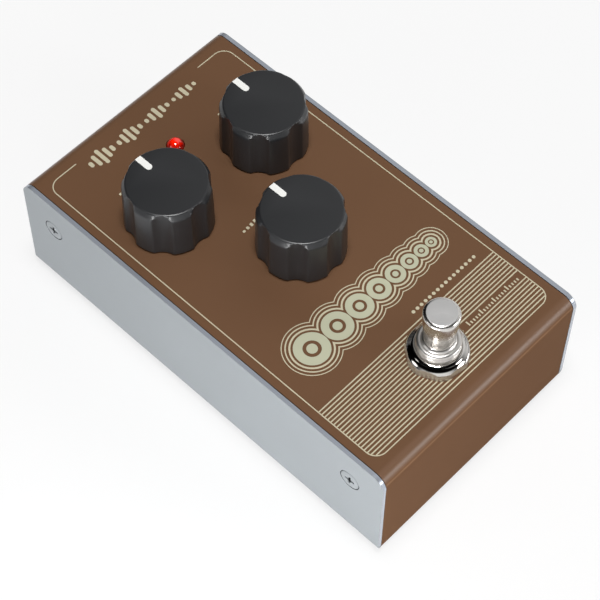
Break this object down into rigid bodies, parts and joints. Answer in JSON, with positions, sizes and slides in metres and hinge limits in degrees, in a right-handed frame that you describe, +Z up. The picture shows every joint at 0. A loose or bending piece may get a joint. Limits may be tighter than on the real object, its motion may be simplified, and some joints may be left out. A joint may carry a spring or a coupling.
{
  "type": "analog delay pedal",
  "caption": "Compact guitar effect pedal: sheet-metal case with rounded front and rear edges, rotary controls, status lamp, sprung footswitch, rear signal jacks and power socket.",
  "frame": {"origin": "on the floor under the middle of the whole object, between the four feet", "axes": "+Z up, -Y towards the player and the footswitch, +Y towards the jacks, +X to the player's right"},
  "size_m": [0.074, 0.1324, 0.0578],
  "materials": {
    "cover_paint": "satin brown powder coat",
    "chassis_metal": "fine satin sheet",
    "screw_steel": "nickel plated",
    "insert_steel": "zinc plated",
    "foot_rubber": "matte",
    "knob_plastic": "satin charcoal",
    "pointer_white": "satin white",
    "shaft_metal": "machined",
    "wiper_plastic": "moulded",
    "can_metal": "zinc plated",
    "bushing_metal": "die cast",
    "wafer_board": "phenolic board",
    "tin_contact": "tinned",
    "nut_steel": "nickel plated",
    "footswitch_chrome": "polished",
    "switch_plastic": "moulded blue",
    "switch_fittings": "moulded nylon",
    "spring_steel": "drawn wire",
    "board_green": "solder mask",
    "cable_grey": "flat cable",
    "header_plastic": "moulded",
    "jack_plastic": "moulded black",
    "jack_nickel": "nickel plated",
    "led_red": "clear red epoxy",
    "chip_black": "moulded epoxy",
    "capacitor_sleeve": "shrink sleeve",
    "film_box": "dipped box",
    "resistor_body": "lacquered",
    "trimmer_body": "moulded",
    "battery_case": "lacquered steel",
    "snap_plastic": "moulded vinyl",
    "lead_vinyl": "vinyl",
    "foam_grey": "foam"
  },
  "bodies": {
    "enclosure": {"top_cover": "cover_paint", "base_chassis": "chassis_metal", "side_screws": "screw_steel", "screw_inserts": "insert_steel", "rubber_feet": "foot_rubber", "pot_cases": "can_metal", "pot_bushings": "bushing_metal", "pot_wafers": "wafer_board", "pot_terminals": "tin_contact", "pot_washers": "nut_steel", "pot_nuts": "nut_steel", "footswitch_spring": "spring_steel", "footswitch_bushing": "footswitch_chrome", "footswitch_nut": "footswitch_chrome", "footswitch_lock_washer": "nut_steel", "footswitch_back_nut": "nut_steel", "footswitch_case": "switch_plastic", "footswitch_lugs": "tin_contact", "switch_board": "board_green", "ribbon_cable": "cable_grey", "ribbon_headers": "header_plastic", "input_jack_housing": "jack_plastic", "input_jack_contacts": "tin_contact", "output_jack_housing": "jack_plastic", "output_jack_contacts": "tin_contact", "jack_washers": "jack_nickel", "jack_nuts": "jack_nickel", "power_jack_housing": "jack_plastic", "power_jack_pin": "jack_nickel", "power_jack_contacts": "tin_contact", "main_board": "board_green", "led_lens": "led_red", "led_leads": "tin_contact", "led_spacer": "jack_plastic", "delay_chips": "chip_black", "amplifier_chips": "chip_black", "electrolytic_capacitors": "capacitor_sleeve", "film_capacitors": "film_box", "resistors": "resistor_body", "trimmers": "trimmer_body", "battery": "battery_case", "battery_terminals": "tin_contact", "battery_snap": "snap_plastic", "battery_leads": "lead_vinyl", "battery_foam": "foam_grey"},
    "time_control": {"time_knob": "knob_plastic", "time_pointer": "pointer_white", "time_shaft": "shaft_metal", "time_wiper": "wiper_plastic"},
    "repeats_control": {"repeats_knob": "knob_plastic", "repeats_pointer": "pointer_white", "repeats_shaft": "shaft_metal", "repeats_wiper": "wiper_plastic"},
    "mix_control": {"mix_knob": "knob_plastic", "mix_pointer": "pointer_white", "mix_shaft": "shaft_metal", "mix_wiper": "wiper_plastic"},
    "footswitch_button": {"footswitch_plunger": "footswitch_chrome", "footswitch_actuator": "switch_fittings"}
  },
  "joints": [
    {"name": "time_turn", "type": "hinge", "parent": "enclosure", "child": "time_control", "pos_m": [-0.0178, 0.0274, 0.0384], "axis": [0, 0, 1], "range_deg": [-150, 150]},
    {"name": "repeats_turn", "type": "hinge", "parent": "enclosure", "child": "repeats_control", "pos_m": [0, -0.0034, 0.0384], "axis": [0, 0, 1], "range_deg": [-150, 150]},
    {"name": "mix_turn", "type": "hinge", "parent": "enclosure", "child": "mix_control", "pos_m": [0.0178, 0.0274, 0.0384], "axis": [0, 0, 1], "range_deg": [-150, 150]},
    {"name": "footswitch_press", "type": "slide", "parent": "enclosure", "child": "footswitch_button", "axis": [0, 0, -1], "range_m": [0, 0.003], "stiffness_N_per_m": 6000, "deforming": ["footswitch_spring"]}
  ]
}
